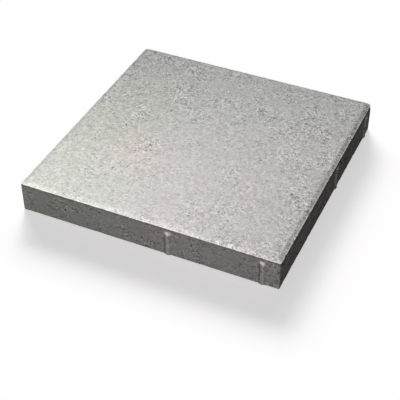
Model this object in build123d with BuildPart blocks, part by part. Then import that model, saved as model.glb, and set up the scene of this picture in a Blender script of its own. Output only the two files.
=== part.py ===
from build123d import *
import os

# Concrete paving slab, cast in one piece. Millimetres, +Z up.
# The origin is the middle of the underside, which lies on the bed.

# Overall sizes
laying_module = 400.0  # one slab and one joint, from slab centre to slab centre
slab_thickness = 50.0
corner_radius = 3.0  # upright corners

# Bevelled rim of the walking face
bevel_width = 7.0
bevel_drop = 2.5
face_corner_radius = 1.0  # corners of the flat face inside the rim

# Arris round the underside
lower_arris = 0.8

# Spacer ribs, two on each side
rib_projection = 2.0  # the ribs bear on the next slab's plain side, so this is the joint
rib_width = 9.0
rib_middle_offset = 34.0  # inner rib, from the middle of its side
rib_corner_distance = 25.0  # outer rib, from the corner to its right
rib_head_gap = 6.5  # from the foot of the bevel down to the rib's head, at the wall
rib_head_drop = 4.0  # fall of the head from the wall to the nose
rib_root = 1.0  # how far a rib's section reaches into the slab

# Worked out from the sizes above
side_count = 4
slab_side = laying_module - rib_projection
half_side = slab_side / 2
face_side = slab_side - 2 * bevel_width
bevel_foot = slab_thickness - bevel_drop
rib_head_height = bevel_foot - rib_head_gap
rib_outer_offset = half_side - rib_corner_distance

# One spacer rib, at the wall of a slab that lies towards -X, nose towards +X
with BuildPart() as spacer_rib:
    with BuildSketch():
        with BuildLine():
            nose = ThreePointArc((0, -rib_width / 2), (rib_projection, 0), (0, rib_width / 2))
            Polyline(nose @ 1, (-rib_root, rib_width / 2), (-rib_root, -rib_width / 2), nose @ 0)
        make_face()
    extrude(amount=slab_thickness)
    # The head falls away from the wall, so that slabs slide down past each other
    with BuildSketch(Plane.XZ):
        with BuildLine():
            Polyline(
                (-rib_root, rib_head_height),
                (0, rib_head_height),
                (rib_projection, rib_head_height - rib_head_drop),
                (rib_projection, slab_thickness),
                (-rib_root, slab_thickness),
                close=True,
            )
        make_face()
    extrude(amount=rib_width / 2, both=True, mode=Mode.SUBTRACT)

with BuildPart() as paving_slab:
    # Upright body, up to the foot of the bevel
    with BuildSketch():
        RectangleRounded(slab_side, slab_side, corner_radius)
    extrude(amount=bevel_foot)

    # Shallow bevel up to the walking face
    with BuildSketch(Plane.XY.offset(bevel_foot)):
        RectangleRounded(slab_side, slab_side, corner_radius)
    with BuildSketch(Plane.XY.offset(slab_thickness)):
        RectangleRounded(face_side, face_side, face_corner_radius)
    loft(ruled=True)

    # Ribs in the same two places on every side, going round
    with PolarLocations(half_side, side_count):
        with Locations((0, rib_middle_offset), (0, rib_outer_offset)):
            add(spacer_rib.part)

    # Arris round the underside, slab and ribs together
    chamfer(faces().sort_by(Axis.Z)[0].edges(), length=lower_arris)

paving_slab.part.label = "paving_slab"

os.makedirs("parts", exist_ok=True)
export_step(paving_slab.part, "parts/paving_slab.step")
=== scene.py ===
"""Looks of a square concrete paving slab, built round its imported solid."""

import math
import random

import bmesh
import bpy
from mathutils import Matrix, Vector, noise

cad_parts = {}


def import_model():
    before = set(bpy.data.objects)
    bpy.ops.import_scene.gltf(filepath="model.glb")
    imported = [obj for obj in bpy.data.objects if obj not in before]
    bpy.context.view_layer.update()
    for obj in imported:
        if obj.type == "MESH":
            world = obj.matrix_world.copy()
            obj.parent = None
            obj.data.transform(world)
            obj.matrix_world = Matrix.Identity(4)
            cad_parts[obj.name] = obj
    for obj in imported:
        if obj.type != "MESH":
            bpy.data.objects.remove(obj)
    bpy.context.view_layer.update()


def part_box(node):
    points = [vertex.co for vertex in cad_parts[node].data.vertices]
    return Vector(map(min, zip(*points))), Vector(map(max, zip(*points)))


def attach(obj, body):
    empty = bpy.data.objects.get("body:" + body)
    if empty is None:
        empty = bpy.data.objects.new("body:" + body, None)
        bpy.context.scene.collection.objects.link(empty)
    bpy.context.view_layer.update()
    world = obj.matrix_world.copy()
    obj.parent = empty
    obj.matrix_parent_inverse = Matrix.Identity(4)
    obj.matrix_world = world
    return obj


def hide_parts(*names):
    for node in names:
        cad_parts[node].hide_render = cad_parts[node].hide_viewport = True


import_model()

# Sizes of the slab, in metres
SLAB_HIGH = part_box("paving_slab")[1]
RIB_PROJECTION = 0.002
HALF_SIDE = SLAB_HIGH.x - RIB_PROJECTION
THICKNESS = SLAB_HIGH.z
CORNER_RADIUS = 0.0012  # sharper than the solid's, as the near corners are in the photograph
BEVEL_WIDTH = 0.007
BEVEL_DROP = 0.0025
BEVEL_FOOT = THICKNESS - BEVEL_DROP
LOWER_ARRIS = 0.0008
RIB_WIDTH = 0.009
RIB_OFFSETS = (0.034, HALF_SIDE - 0.025)  # from the middle of a side, going round
RIB_HEAD_HEIGHT = BEVEL_FOOT - 0.0065
RIB_HEAD_DROP = 0.004

# The four sides, by the way they face
FRONT, RIGHT, BACK, LEFT = (0, -1), (1, 0), (0, 1), (-1, 0)

# How finely the shell is cut up
FACE_CELL = 0.0021
RIM_CELLS = 6
RIB_CELLS = 8
SIDE_CELL = 0.0021
CELL_SLACK = 0.01  # of a cell, so that a rounding error makes no cut
SHARP_ANGLE = math.radians(25)  # edges that turn by more stay sharp

# Relief, always pressed inwards: its size along the surface, its depth, and the share of pits
RELIEF_SEED = 11
FACE_GRAIN_SIZE = 0.0035
FACE_GRAIN_DEPTH = 0.00022
FACE_WAVE_SIZE = 0.045
FACE_WAVE_DEPTH = 0.0002
FACE_PIT_SHARE = 0.02
FACE_PIT_DEPTH = 0.0007
SIDE_GRAIN_SIZE = 0.004
SIDE_GRAIN_DEPTH = 0.0004
SIDE_PIT_SHARE = 0.03
SIDE_PIT_DEPTH = 0.0010
SHALLOWEST_PIT = 0.35  # of the full depth
LOWER_CHIP_SIZE = 0.007
LOWER_CHIP_DEPTH = 0.0011
LOWER_CHIP_HEIGHT = 0.003
LOWER_CHIP_START = 0.05  # noise under this leaves the arris whole
UPPER_CHIP_SIZE = 0.006
UPPER_CHIP_DEPTH = 0.0005
UPPER_CHIP_POWER = 1.5

# Corners knocked rounder than they were cast: which one, and its radius now at the top
WORN_CORNERS = {(1, 1): 0.0075, (-1, 1): 0.0065}
WORN_DEPTH = 0.014  # how far down the wear grows less
WEAR_BELOW = 0.05  # what is left of it further down, of the wear at the top

# Painted light and shade against the walking face: the bevel on each side, and a painted highlight
# line along its outer arris
BEVEL_PAINTED_SHADING = {FRONT: 1.19, RIGHT: 0.71, BACK: 1.10, LEFT: 0.97}
ARRIS_PAINTED_HIGHLIGHTS = {FRONT: 1.34, RIGHT: 0.89, BACK: 1.22, LEFT: 1.04}
ARRIS_WIDTH = 0.0015
ARRIS_DEPTH = 0.0005  # how far the arris's painted highlight reaches down a side
BEVEL_FADE_START = 0.0047
BEVEL_FADE_END = 0.0083

# How open the walking face's grain is in its middle, and what is added towards its edges
FACE_OPENNESS = 1.58
OPENNESS_TO_BACK = 0.30
OPENNESS_TO_SIDES = 0.36
OPENNESS_TO_RIGHT = 0.11
OPENNESS_TO_FRONT_RIGHT = 0.12  # and to the back left, and as much less at the other two corners
FACE_PATCHES = ((0.028, 0.45), (0.07, 0.25))  # the size and strength of two kinds of patch
BEVEL_GRAIN_GAINS = {FRONT: 1.12, RIGHT: 1.2, BACK: 1.1, LEFT: 1.1}

# How open a side's grain is: all over, more to its right, and more beyond its outer rib
SIDE_OPENNESS = {FRONT: (1.55, 0.2, 0.6), RIGHT: (2.5, 0.0, 0.0)}
SIDE_PATCH_SIZE = 0.022
SIDE_PATCH_STRENGTH = 0.8
CLOSED_PATCH = 0.4  # the least openness of a patch, against what lies round it

# Painted light and shade on the sides: the tone of a rib's head, left flank and nose
RIB_PAINTED_SHADING = {FRONT: (1.6, 0.5, 1.3), RIGHT: (1.6, 1.6, 0.92)}
RIB_FLANK = 0.65  # where a flank begins, of half the rib's width
RIB_SURROUND = 1.25  # where the plain wall begins, of half the rib's width

# Painted shade under the arris: its tone, the height it starts at and the height it is full at
UPPER_WALL_PAINTED_SHADE = {FRONT: (0.89, 0.0435, 0.0450), RIGHT: (0.77, 0.033, 0.042)}

# The walking face grows paler towards two opposite corners, and darker towards the others
CORNER_DRIFT = 0.1

# The concrete's own colour, and how it drifts over the slab
CONCRETE = (0.600, 0.600, 0.590)
WANDER_SIZE = 0.05
WANDER_REACH = 0.03
MOTTLE_SIZE = 0.022
MOTTLE_SHARE = 0.014
MOTTLE_SHIFT = Vector((7, 3, 5))
SIDE_BLUE = 0.98  # how much of its blue a side keeps

# A pink cast that grows from left to right, and fades on a slant from front to back
PINK_CAST = (1.043, 0.988, 0.998)
PINK_ACROSS = (-0.08, -0.01)
PINK_BACK = (-0.01, 0.09)
PINK_SLANT = 0.25
SIDE_PINK_GAIN = 1.7
WARM_BLOTCH = Vector((-0.075, -0.074))
WARM_BLOTCH_INNER = 0.02
WARM_BLOTCH_OUTER = 0.075
WARM_BLOTCH_PINK = 1.35

# A yellow cast that fades from left to right, and from front to back
YELLOW_CAST = (0.998, 1.007, 0.949)
YELLOW_ACROSS = (-0.15, 0.05)
YELLOW_BACK = (0.09, 0.17)

# Sizes of the concrete's grains and waves, and its spots' spacing, radius and share
FINE_GRAIN = 0.0016
COARSE_GRAIN = 0.0032
SOFT_WAVE = 0.006
BROAD_WAVE = 0.035
WAVE_DETAIL = 3.0
NOISE_LOW, NOISE_HIGH = 0.2, 0.8  # where nearly all of the noise texture's values lie
PORES = (0.0042, 0.0014, 0.45)
LARGE_PORES = (0.011, 0.0022, 0.3)
WHITE_SPOTS = (0.0075, 0.0012, 0.4)
SPOT_SOFTNESS = 0.35  # the width of a spot's edge, of its radius

# What each of them adds to the tone, and the darkest and palest tones
FINE_TONE, COARSE_TONE = 0.07, 0.075
SOFT_TONE, BROAD_TONE = 0.08, 0.042
# Pores are darkened with painted shade in their hollows
PORE_PAINTED_SHADE, LARGE_PORE_PAINTED_SHADE = -0.135, -0.16
# Pits are darkened with dirt and painted shade in their hollows
WHITE_TONE, PIT_DIRT_AND_PAINTED_SHADE = 0.14, -0.33
DARKEST, PALEST = 0.1, 1.6

# What each of them adds to the bump's height, and the surface's sheen
FINE_BUMP, SOFT_BUMP = 0.5, 0.6
PORE_BUMP, LARGE_PORE_BUMP = -1.5, -2.0
BUMP_DISTANCE = 0.0003
BUMP_STRENGTH = 0.6
ROUGHNESS = 0.92
SPECULAR = 0.25

# Camera, from the photograph's perspective
VIEW_AZIMUTH = math.radians(24.5)
VIEW_ELEVATION = math.radians(40.46)
VIEW_DISTANCE = 1.4905
VIEW_TARGET = Vector((0.0261, -0.0744, 0.0))
VIEW_LENS_MM = 90.95
SENSOR_MM = 36.0

# Lamps that light the slab alone: name, place, aim, energy, width and spread
SLAB_LAMPS = (
    ("key", (0.0, -0.28, 1.4), (-0.152, -0.265, 0.05), 4.03, 0.4, math.radians(87)),
    ("fill", (0.3, -1.3, 0.5), (0, -0.2, 0.02), 2.4, 0.5, math.pi),
    ("back_fill", (-1.0, 1.0, 0.35), (0, 0, 0.02), 2.4, 0.5, math.pi),
)

# A fan of low, soft suns behind the slab on its left, which light the floor alone:
# name, azimuth and energy
FLOOR_SUNS = (
    ("left_floor_light", math.radians(222.6), 0.87),
    ("floor_light", math.radians(206.7), 1.79),
    ("right_floor_light", math.radians(189.0), 0.34),
)
SUN_ELEVATION = math.radians(28.2)
SUN_ANGLE = math.radians(18)

# The sky's strength as a light, and as the camera sees it
SKY_LIGHT = 0.08
SKY_SEEN = 1.0

# The floor: its glow and colour as the camera sees them, and its colour to the slab
FLOOR_HALF_SIDE = 6.0
FLOOR_GLOW = 0.567
FLOOR_GLOW_COLOUR = (1.013, 1.0, 1.003, 1)
FLOOR_COLOUR = (0.810, 0.8, 0.802, 1)
FLOOR_UNDER_SLAB = (0.1, 0.1, 0.1, 1)

EDGE = 1e-6  # a distance too small to matter


def stations():
    """Where the shell is cut along one side: close at the rim and the ribs, wider between."""
    marks = [-HALF_SIDE, HALF_SIDE]
    rim_step = BEVEL_WIDTH / RIM_CELLS
    for cell in range(1, RIM_CELLS + 1):
        marks += [-HALF_SIDE + cell * rim_step, HALF_SIDE - cell * rim_step]
    for offset in RIB_OFFSETS:
        for cell in range(RIB_CELLS + 1):
            place = offset - RIB_WIDTH / 2 + cell * RIB_WIDTH / RIB_CELLS
            marks += [place, -place]
    marks.sort()
    cuts = [marks[0]]
    for low, high in zip(marks, marks[1:]):
        cells = max(1, math.ceil((high - low) / FACE_CELL - CELL_SLACK))
        cuts += [low + (high - low) * cell / cells for cell in range(1, cells + 1)]
    return cuts


def side_levels():
    """Heights at which the sides are cut, from the bevel's foot down to the lower arris."""
    rib_nose_height = RIB_HEAD_HEIGHT - RIB_HEAD_DROP
    marks = [BEVEL_FOOT, BEVEL_FOOT - ARRIS_DEPTH, RIB_HEAD_HEIGHT, rib_nose_height, LOWER_ARRIS]
    levels = []
    for high, low in zip(marks, marks[1:]):
        cells = max(1, math.ceil((high - low) / SIDE_CELL))
        levels += [high + (low - high) * cell / cells for cell in range(1, cells + 1)]
    return levels


def rounded_corner(x, y):
    """Moves a point of the square plan onto the plan with rounded corners."""
    core = HALF_SIDE - CORNER_RADIUS
    over_x = abs(x) - core
    over_y = abs(y) - core
    if over_x <= 0 or over_y <= 0:
        return x, y
    share = max(over_x, over_y) / math.hypot(over_x, over_y)
    return (
        math.copysign(core + over_x * share, x),
        math.copysign(core + over_y * share, y),
    )


def side_of(x, y):
    """Which side is nearest, and the place along it, going round."""
    if abs(x) > abs(y):
        return (RIGHT, y) if x > 0 else (LEFT, -y)
    return (BACK, -x) if y > 0 else (FRONT, x)


def rib_height(along, height):
    """How far a rib stands out at a place along its side and at a height."""
    radius = (RIB_WIDTH**2 / 4 + RIB_PROJECTION**2) / (2 * RIB_PROJECTION)
    slope = RIB_PROJECTION / RIB_HEAD_DROP
    for offset in RIB_OFFSETS:
        across = along - offset
        if abs(across) < RIB_WIDTH / 2:
            nose = math.sqrt(radius**2 - across**2) - (radius - RIB_PROJECTION)
            return max(0.0, min(nose, (RIB_HEAD_HEIGHT - height) * slope))
    return 0.0


def drawn_down(shell, edge_loop, level):
    """Draws the open edge of the shell down to a level, and returns the new open edge."""
    made = bmesh.ops.extrude_edge_only(shell, edges=edge_loop)["geom"]
    for item in made:
        if isinstance(item, bmesh.types.BMVert):
            item.co.z = level
    return [item for item in made if isinstance(item, bmesh.types.BMEdge) and item.is_boundary]


def plain_shell():
    """The slab's smooth outer shell, finely cut: walking face, bevel, sides and underside."""
    cuts = stations()
    cells = len(cuts) - 1
    shell = bmesh.new()
    bmesh.ops.create_grid(shell, x_segments=cells, y_segments=cells, size=HALF_SIDE)
    for vert in shell.verts:
        x = cuts[round((vert.co.x / HALF_SIDE + 1) / 2 * cells)]
        y = cuts[round((vert.co.y / HALF_SIDE + 1) / 2 * cells)]
        from_rim = HALF_SIDE - max(abs(x), abs(y))
        fall = BEVEL_DROP * max(0.0, 1 - from_rim / BEVEL_WIDTH)
        vert.co = (*rounded_corner(x, y), THICKNESS - fall)
    edge_loop = [edge for edge in shell.edges if edge.is_boundary]
    for level in side_levels():
        edge_loop = drawn_down(shell, edge_loop, level)
    edge_loop = drawn_down(shell, edge_loop, 0.0)
    core = 1 - LOWER_ARRIS / HALF_SIDE
    arris = {vert for edge in edge_loop for vert in edge.verts}
    bmesh.ops.scale(shell, vec=(core, core, 1), verts=list(arris))
    bmesh.ops.holes_fill(shell, edges=edge_loop, sides=0)
    bmesh.ops.recalc_face_normals(shell, faces=shell.faces)
    return shell


def smooth_step(value, low, high):
    """Rises from 0 at the low value to 1 at the high one."""
    share = min(1.0, max(0.0, (value - low) / (high - low)))
    return share * share * (3 - 2 * share)


def half_wave(place, size):
    """Smooth noise from 0 to 1, with waves of about the given size."""
    return 0.5 + 0.5 * noise.noise(place / size)


def painted_bevel_shading(side, from_rim):
    """Painted light and shade on the rim, with a painted highlight line along the outer arris,
    fading out inside the bevel.
    """
    tone = ARRIS_PAINTED_HIGHLIGHTS[side] if from_rim < ARRIS_WIDTH else BEVEL_PAINTED_SHADING[side]
    inside = smooth_step(from_rim, BEVEL_FADE_START, BEVEL_FADE_END)
    return tone + (1 - tone) * inside


def painted_rib_shading(side, along, height):
    """Painted light and shade of a side on a rib's head, left flank and nose."""
    head, flank, nose = RIB_PAINTED_SHADING.get(side, RIB_PAINTED_SHADING[FRONT])
    for offset in RIB_OFFSETS:
        across = (along - offset) / (RIB_WIDTH / 2)
        if abs(across) > RIB_SURROUND or height > RIB_HEAD_HEIGHT + EDGE:
            continue
        if abs(across) <= 1 and height > RIB_HEAD_HEIGHT - RIB_HEAD_DROP - EDGE:
            return head
        if across < -RIB_FLANK:
            return flank
        if across < RIB_FLANK:
            return nose
    return 1.0


def painted_upper_wall_shade(side, height):
    """Painted shade of a side, which grows darker towards its upper arris."""
    upper, start, full = UPPER_WALL_PAINTED_SHADE.get(side, UPPER_WALL_PAINTED_SHADE[FRONT])
    return 1 + (upper - 1) * smooth_step(height, start, full)


def face_openness(place, side, from_rim):
    """How open the top's grain is: closed at the middle of the front, most open on the bevel."""
    across = place.x / HALF_SIDE
    back = place.y / HALF_SIDE
    base = FACE_OPENNESS + OPENNESS_TO_BACK * back + OPENNESS_TO_SIDES * abs(across)
    base += (OPENNESS_TO_RIGHT - OPENNESS_TO_FRONT_RIGHT * back) * across
    patches = sum(strength * noise.noise(place / size) for size, strength in FACE_PATCHES)
    gain = BEVEL_GRAIN_GAINS[side] if from_rim < BEVEL_WIDTH - EDGE else 1.0
    return base * gain * max(CLOSED_PATCH, 1 + patches)


def side_openness(place, side, along):
    """How open a side's grain is: patchy, and rougher to the right and beyond the outer rib."""
    base, on_the_right, at_the_end = SIDE_OPENNESS.get(side, SIDE_OPENNESS[FRONT])
    base += on_the_right * smooth_step(along, 0, RIB_OFFSETS[0] * 2)
    base += at_the_end * smooth_step(along, RIB_OFFSETS[1], RIB_OFFSETS[1] + RIB_WIDTH)
    patches = SIDE_PATCH_STRENGTH * noise.noise(place / SIDE_PATCH_SIZE)
    return base * max(CLOSED_PATCH, 1 + patches)


def cast(place):
    """The concrete's colour at a place: pinker in front to the right, yellower to the left."""
    wander = WANDER_REACH * noise.noise(place / WANDER_SIZE)
    pink = smooth_step(place.x + wander, *PINK_ACROSS)
    pink *= 1 - smooth_step(place.y - PINK_SLANT * place.x + wander, *PINK_BACK)
    from_blotch = (place.xy - WARM_BLOTCH).length + wander
    blotch = 1 - smooth_step(from_blotch, WARM_BLOTCH_INNER, WARM_BLOTCH_OUTER)
    pink += (WARM_BLOTCH_PINK - pink) * blotch
    if place.z < BEVEL_FOOT:
        pink *= SIDE_PINK_GAIN
    yellow = 1 - smooth_step(place.x + wander, *YELLOW_ACROSS)
    yellow *= 1 - smooth_step(place.y + wander, *YELLOW_BACK)
    mottle = (
        noise.noise(place / MOTTLE_SIZE),
        0.0,
        noise.noise(place / MOTTLE_SIZE + MOTTLE_SHIFT),
    )
    blue = SIDE_BLUE if place.z < BEVEL_FOOT else 1.0
    colour = []
    for base, to_pink, to_yellow, spot in zip(CONCRETE, PINK_CAST, YELLOW_CAST, mottle):
        tint = (1 + (to_pink - 1) * pink) * (1 + (to_yellow - 1) * yellow)
        colour.append(base * tint * (1 + MOTTLE_SHARE * spot))
    colour[2] *= blue
    return (*colour, 1.0)


def lower_chip(place, height):
    """How far the lower arris is broken back at a place."""
    low = max(0.0, 1 - height / LOWER_CHIP_HEIGHT)
    along = Vector((place.x, place.y, 0)) / LOWER_CHIP_SIZE
    return LOWER_CHIP_DEPTH * low * max(0.0, noise.noise(along) - LOWER_CHIP_START)


def worn_corner(place):
    """Where a place near a worn corner lies once the corner is knocked rounder."""
    x, y, z = place
    corner = (round(math.copysign(1, x)), round(math.copysign(1, y)))
    radius = WORN_CORNERS.get(corner, CORNER_RADIUS)
    core = HALF_SIDE - radius
    over = Vector((abs(x) - core, abs(y) - core))
    if radius <= CORNER_RADIUS or min(over) <= 0:
        return place

    # How far out the ray through the place meets the slab as cast: its side, or its corner's arc
    ray = over.normalized()
    reach = radius / max(ray)
    arc_middle = radius - CORNER_RADIUS
    if min(ray) * reach > arc_middle:
        middle = Vector((arc_middle, arc_middle))
        lean = ray.dot(middle)
        reach = lean + math.sqrt(lean**2 - middle.length_squared + CORNER_RADIUS**2)
    wear = WEAR_BELOW + (1 - WEAR_BELOW) * smooth_step(z, THICKNESS - WORN_DEPTH, THICKNESS)
    over *= 1 + wear * (radius / reach - 1)
    return Vector((corner[0] * (core + over.x), corner[1] * (core + over.y), z))


class Marks:
    """What the shell's points carry for the finish: tone, with painted light and shade, openness,
    pits and colour.
    """

    def __init__(self, shell):
        layers = shell.verts.layers
        self.tone = layers.float.new("tone")
        self.open = layers.float.new("open")
        self.pit = layers.float.new("pit")
        self.colour = layers.float_color.new("cast")


def shaped_ribs(shell, marks):
    """Draws the ribs out of the sides, and paints the sides' light and shade on the ribs and under
    the upper arris.
    """
    for vert in shell.verts:
        x, y, z = vert.co
        if z > BEVEL_FOOT - EDGE:
            continue
        side, along = side_of(x, y)
        stand = rib_height(along, z)
        vert.co.x += side[0] * stand
        vert.co.y += side[1] * stand
        vert[marks.tone] = painted_rib_shading(side, along, z) * painted_upper_wall_shade(side, z)


def roughened_face(vert, marks, draw, depth_share):
    """Presses grain and pits into one point of the walking face or its bevel, and gives it its
    tone with the bevel's painted light and shade.
    """
    place = vert.co.copy()
    side, _ = side_of(place.x, place.y)
    from_rim = HALF_SIDE - max(abs(place.x), abs(place.y))
    open_grain = face_openness(place, side, from_rim)
    depth = FACE_GRAIN_DEPTH * half_wave(place, FACE_GRAIN_SIZE)
    depth += FACE_WAVE_DEPTH * half_wave(place, FACE_WAVE_SIZE)
    if draw < FACE_PIT_SHARE * open_grain:
        depth += FACE_PIT_DEPTH * depth_share
        vert[marks.pit] = depth_share
    vert.co.z -= depth
    vert[marks.open] = open_grain
    drift = 1 + CORNER_DRIFT * place.x * place.y / HALF_SIDE**2
    vert[marks.tone] = painted_bevel_shading(side, from_rim) * drift


def roughened_upper_arris(vert, marks):
    """Breaks the sharp edge between the bevel and a side here and there, and paints the arris's
    highlight line.
    """
    place = vert.co.copy()
    side, _ = side_of(place.x, place.y)
    broken = max(0.0, noise.noise(place / UPPER_CHIP_SIZE))
    chip = UPPER_CHIP_DEPTH * broken**UPPER_CHIP_POWER
    vert.co -= Vector((side[0], side[1], 1)) * chip
    vert[marks.open] = face_openness(place, side, 0)
    vert[marks.tone] = painted_bevel_shading(side, 0)


def roughened_side(vert, marks, draw, depth_share):
    """Presses grain and pits into one point of a side, and chips its lower arris."""
    place = vert.co.copy()
    side, along = side_of(place.x, place.y)
    open_grain = side_openness(place, side, along)
    depth = lower_chip(place, place.z)
    if place.z > EDGE:
        depth += SIDE_GRAIN_DEPTH * half_wave(place, SIDE_GRAIN_SIZE)
    else:
        depth += SIDE_GRAIN_DEPTH / 2  # the underside's edge is drawn in evenly
    between_arrises = LOWER_ARRIS + EDGE < place.z < BEVEL_FOOT - ARRIS_DEPTH - EDGE
    if draw < SIDE_PIT_SHARE * open_grain and between_arrises:
        depth += SIDE_PIT_DEPTH * depth_share
        vert[marks.pit] = depth_share
    vert.co -= Vector((side[0], side[1], 0)) * depth
    vert[marks.open] = open_grain


def roughened(shell, marks):
    """Gives the smooth shell its grain, pits, chips, worn corners, drift of colour and painted
    light and shade on the rim.
    """
    chance = random.Random(RELIEF_SEED)
    for vert in shell.verts:
        draw = chance.random()
        depth_share = SHALLOWEST_PIT + (1 - SHALLOWEST_PIT) * chance.random()
        vert[marks.colour] = cast(vert.co)
        if vert.co.z > BEVEL_FOOT + EDGE:
            roughened_face(vert, marks, draw, depth_share)
        elif vert.co.z > BEVEL_FOOT - EDGE:
            roughened_upper_arris(vert, marks)
        else:
            roughened_side(vert, marks, draw, depth_share)
        vert.co = worn_corner(vert.co)


def slab_piece():
    """The slab's shell as one piece, smooth but for its arrises."""
    shell = plain_shell()
    marks = Marks(shell)
    shaped_ribs(shell, marks)
    roughened(shell, marks)
    mesh = bpy.data.meshes.new("slab_shell")
    shell.to_mesh(mesh)
    shell.free()
    mesh.polygons.foreach_set("use_smooth", [True] * len(mesh.polygons))
    mesh.set_sharp_from_angle(angle=SHARP_ANGLE)
    piece = bpy.data.objects.new("slab_shell", mesh)
    bpy.context.scene.collection.objects.link(piece)
    return piece


class Finish:
    """The node tree of one material, with short ways to add to it."""

    def __init__(self, name):
        self.material = bpy.data.materials.new(name)
        self.material.use_nodes = True
        self.tree = self.material.node_tree
        self.shader = self.tree.nodes["Principled BSDF"]
        self.place = self.node("ShaderNodeTexCoord").outputs["Object"]

    def node(self, kind, inputs=None, **settings):
        """Adds a node. Each input is given a value or is joined to an output."""
        new = self.tree.nodes.new(kind)
        for name, value in settings.items():
            setattr(new, name, value)
        for name, value in (inputs or {}).items():
            self.give(new.inputs[name], value)
        return new

    def give(self, socket, value):
        """Joins the socket to an output, or gives it a value."""
        if isinstance(value, bpy.types.NodeSocket):
            self.tree.links.new(value, socket)
        else:
            socket.default_value = value

    def math(self, operation, first, second, clamp=False):
        inputs = {0: first, 1: second}
        return self.node("ShaderNodeMath", inputs, operation=operation, use_clamp=clamp).outputs[0]

    def product(self, first, second, clamp=False):
        return self.math("MULTIPLY", first, second, clamp)

    def total(self, parts):
        """Adds up the given outputs, each times its share."""
        result = None
        for part, share in parts:
            term = self.product(part, share)
            result = term if result is None else self.math("ADD", result, term)
        return result

    def ranged(self, value, low, high, to_low, to_high):
        inputs = {
            "Value": value,
            "From Min": low,
            "From Max": high,
            "To Min": to_low,
            "To Max": to_high,
        }
        return self.node("ShaderNodeMapRange", inputs).outputs["Result"]

    def mark(self, name):
        """The outputs of one of the marks that the shell's points carry."""
        return self.node("ShaderNodeAttribute", attribute_name=name).outputs

    def waves(self, size):
        """Smooth noise from about -1 to 1, with waves of the given size."""
        inputs = {"Vector": self.place, "Scale": 1 / size, "Detail": WAVE_DETAIL}
        texture = self.node("ShaderNodeTexNoise", inputs)
        return self.ranged(texture.outputs["Fac"], NOISE_LOW, NOISE_HIGH, -1.0, 1.0)

    def cells(self, size):
        """A pattern of cells of the given size, each with random values of its own."""
        texture = self.node("ShaderNodeTexVoronoi", {"Vector": self.place, "Scale": 1 / size})
        values = self.node("ShaderNodeSeparateColor", {"Color": texture.outputs["Color"]})
        return texture.outputs["Distance"], values.outputs

    def grains(self, size):
        """One random value, from -1 to 1, for each grain of the given size."""
        _, values = self.cells(size)
        return self.ranged(values["Red"], 0.0, 1.0, -1.0, 1.0)

    def spots(self, spacing, radius, share):
        """Round spots, 1 inside and 0 outside, in a share of the cells of the given spacing."""
        distance, values = self.cells(spacing)
        widest = radius / spacing
        reach = self.ranged(values["Green"], 1 - share, 1.0, 0.0, widest)
        inside = self.math("SUBTRACT", reach, distance)
        return self.product(inside, 1 / (SPOT_SOFTNESS * widest), clamp=True)


def concrete_colour(finish, fine, soft, pores, large_pores):
    """The shell's colour and tone at each place: its own colour with the painted light and shade
    of the tone mark and painted shade in pores and pits, made lighter and darker by the grain.
    """
    coarse = finish.grains(COARSE_GRAIN)
    broad = finish.waves(BROAD_WAVE)
    whites = finish.spots(*WHITE_SPOTS)
    pit = finish.mark("pit")["Fac"]

    # What grows with the square of the openness leaves the closed patches smooth
    openness = finish.mark("open")["Fac"]
    sharp_parts = (
        (fine, FINE_TONE),
        (pores, PORE_PAINTED_SHADE),
        (large_pores, LARGE_PORE_PAINTED_SHADE),
        (whites, WHITE_TONE),
    )
    sharp = finish.product(finish.total(sharp_parts), openness)
    speckle_parts = ((sharp, 1.0), (coarse, COARSE_TONE), (soft, SOFT_TONE), (pit, PIT_DIRT_AND_PAINTED_SHADE))
    speckle = finish.product(finish.total(speckle_parts), openness)
    tone = finish.total(((speckle, 1.0), (broad, BROAD_TONE)))
    tone = finish.math("ADD", tone, 1.0)
    # The tone mark holds painted light and shade on the bevel, arris, ribs and upper walls
    tone = finish.product(tone, finish.mark("tone")["Fac"])
    tone = finish.math("MAXIMUM", tone, DARKEST)
    tone = finish.math("MINIMUM", tone, PALEST)
    inputs = {0: finish.mark("cast")["Color"], "Scale": tone}
    return finish.node("ShaderNodeVectorMath", inputs, operation="SCALE").outputs[0]


def concrete_bump(finish, fine, soft, pores, large_pores):
    """The grain and pores that are too small for the shell's own points."""
    bump_parts = (
        (fine, FINE_BUMP),
        (soft, SOFT_BUMP),
        (pores, PORE_BUMP),
        (large_pores, LARGE_PORE_BUMP),
    )
    inputs = {
        "Height": finish.total(bump_parts),
        "Distance": BUMP_DISTANCE,
        "Strength": BUMP_STRENGTH,
    }
    return finish.node("ShaderNodeBump", inputs).outputs["Normal"]


def concrete_material():
    """Pressed concrete: fine light and dark grains, small pores darkened with painted shade and a
    few white spots.
    """
    finish = Finish("pressed_concrete")
    fine = finish.grains(FINE_GRAIN)
    soft = finish.waves(SOFT_WAVE)
    pores = finish.spots(*PORES)
    large_pores = finish.spots(*LARGE_PORES)
    colour = concrete_colour(finish, fine, soft, pores, large_pores)
    bump = concrete_bump(finish, fine, soft, pores, large_pores)
    finish.give(finish.shader.inputs["Base Color"], colour)
    finish.give(finish.shader.inputs["Normal"], bump)
    finish.shader.inputs["Roughness"].default_value = ROUGHNESS
    finish.shader.inputs["Specular IOR Level"].default_value = SPECULAR
    return finish.material


def towards(azimuth, elevation):
    """The direction at an azimuth, from the front round to the right, and an elevation."""
    return Vector(
        (
            math.sin(azimuth) * math.cos(elevation),
            -math.cos(azimuth) * math.cos(elevation),
            math.sin(elevation),
        )
    )


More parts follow.
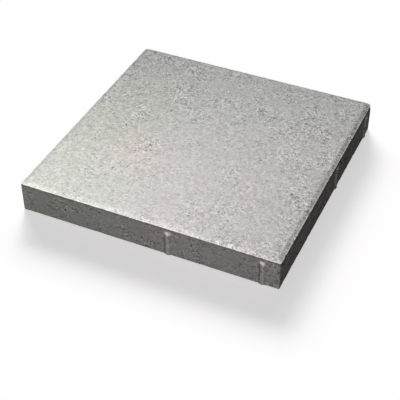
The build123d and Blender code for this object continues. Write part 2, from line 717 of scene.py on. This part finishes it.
def camera():
    data = bpy.data.cameras.new("camera")
    data.lens = VIEW_LENS_MM
    data.sensor_width = SENSOR_MM
    view = bpy.data.objects.new("camera", data)
    away = towards(VIEW_AZIMUTH, VIEW_ELEVATION)
    view.location = VIEW_TARGET + VIEW_DISTANCE * away
    view.rotation_euler = (-away).to_track_quat("-Z", "Y").to_euler()
    bpy.context.scene.collection.objects.link(view)
    bpy.context.scene.camera = view


def lamp(name, kind, place, aim, energy, lit):
    """A lamp at a place, turned to an aim, that lights one piece."""
    data = bpy.data.lights.new(name, kind)
    data.energy = energy
    made = bpy.data.objects.new(name, data)
    made.location = place
    made.rotation_euler = (Vector(aim) - Vector(place)).to_track_quat("-Z", "Y").to_euler()
    bpy.context.scene.collection.objects.link(made)
    receivers = bpy.data.collections.new("lit_by_" + name)
    receivers.objects.link(lit)
    made.light_linking.receiver_collection = receivers
    return data


def lamps(slab, floor):
    for name, place, aim, energy, width, spread in SLAB_LAMPS:
        panel = lamp(name, "AREA", place, aim, energy, slab)
        panel.shape = "SQUARE"
        panel.size = width
        panel.spread = spread
    for name, azimuth, energy in FLOOR_SUNS:
        sun = lamp(name, "SUN", towards(azimuth, SUN_ELEVATION), (0, 0, 0), energy, floor)
        sun.angle = SUN_ANGLE


def world():
    """A white studio that the camera sees, and that lights the slab and the floor faintly."""
    sky = bpy.data.worlds.new("studio")
    bpy.context.scene.world = sky
    sky.use_nodes = True
    tree = sky.node_tree
    background = tree.nodes["Background"]
    seen = tree.nodes.new("ShaderNodeLightPath")
    strength = tree.nodes.new("ShaderNodeMapRange")
    strength.inputs["To Min"].default_value = SKY_LIGHT
    strength.inputs["To Max"].default_value = SKY_SEEN
    tree.links.new(seen.outputs["Is Camera Ray"], strength.inputs["Value"])
    tree.links.new(strength.outputs["Result"], background.inputs["Strength"])
    background.inputs["Color"].default_value = (1, 1, 1, 1)


def floor_material():
    """Pale to the camera, with a glow that lifts its shadow, and dark to the slab."""
    material = bpy.data.materials.new("floor")
    material.use_nodes = True
    tree = material.node_tree
    tree.nodes.clear()
    out = tree.nodes.new("ShaderNodeOutputMaterial")
    mix = tree.nodes.new("ShaderNodeMixShader")
    path = tree.nodes.new("ShaderNodeLightPath")
    dark = tree.nodes.new("ShaderNodeBsdfDiffuse")
    dark.inputs["Color"].default_value = FLOOR_UNDER_SLAB
    glow = tree.nodes.new("ShaderNodeEmission")
    glow.inputs["Color"].default_value = FLOOR_GLOW_COLOUR
    glow.inputs["Strength"].default_value = FLOOR_GLOW
    pale = tree.nodes.new("ShaderNodeBsdfDiffuse")
    pale.inputs["Color"].default_value = FLOOR_COLOUR
    both = tree.nodes.new("ShaderNodeAddShader")
    tree.links.new(glow.outputs[0], both.inputs[0])
    tree.links.new(pale.outputs[0], both.inputs[1])
    tree.links.new(path.outputs["Is Camera Ray"], mix.inputs[0])
    tree.links.new(dark.outputs[0], mix.inputs[1])
    tree.links.new(both.outputs[0], mix.inputs[2])
    tree.links.new(mix.outputs[0], out.inputs["Surface"])
    return material


def floor_piece():
    shape = bmesh.new()
    bmesh.ops.create_grid(shape, x_segments=1, y_segments=1, size=FLOOR_HALF_SIDE)
    mesh = bpy.data.meshes.new("floor")
    shape.to_mesh(mesh)
    shape.free()
    mesh.materials.append(floor_material())
    floor = bpy.data.objects.new("floor", mesh)
    bpy.context.scene.collection.objects.link(floor)
    return floor


slab = slab_piece()
slab.data.materials.append(concrete_material())
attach(slab, "root")
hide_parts("paving_slab")
floor = floor_piece()
camera()
lamps(slab, floor)
world()
bpy.context.scene.view_settings.view_transform = "Standard"
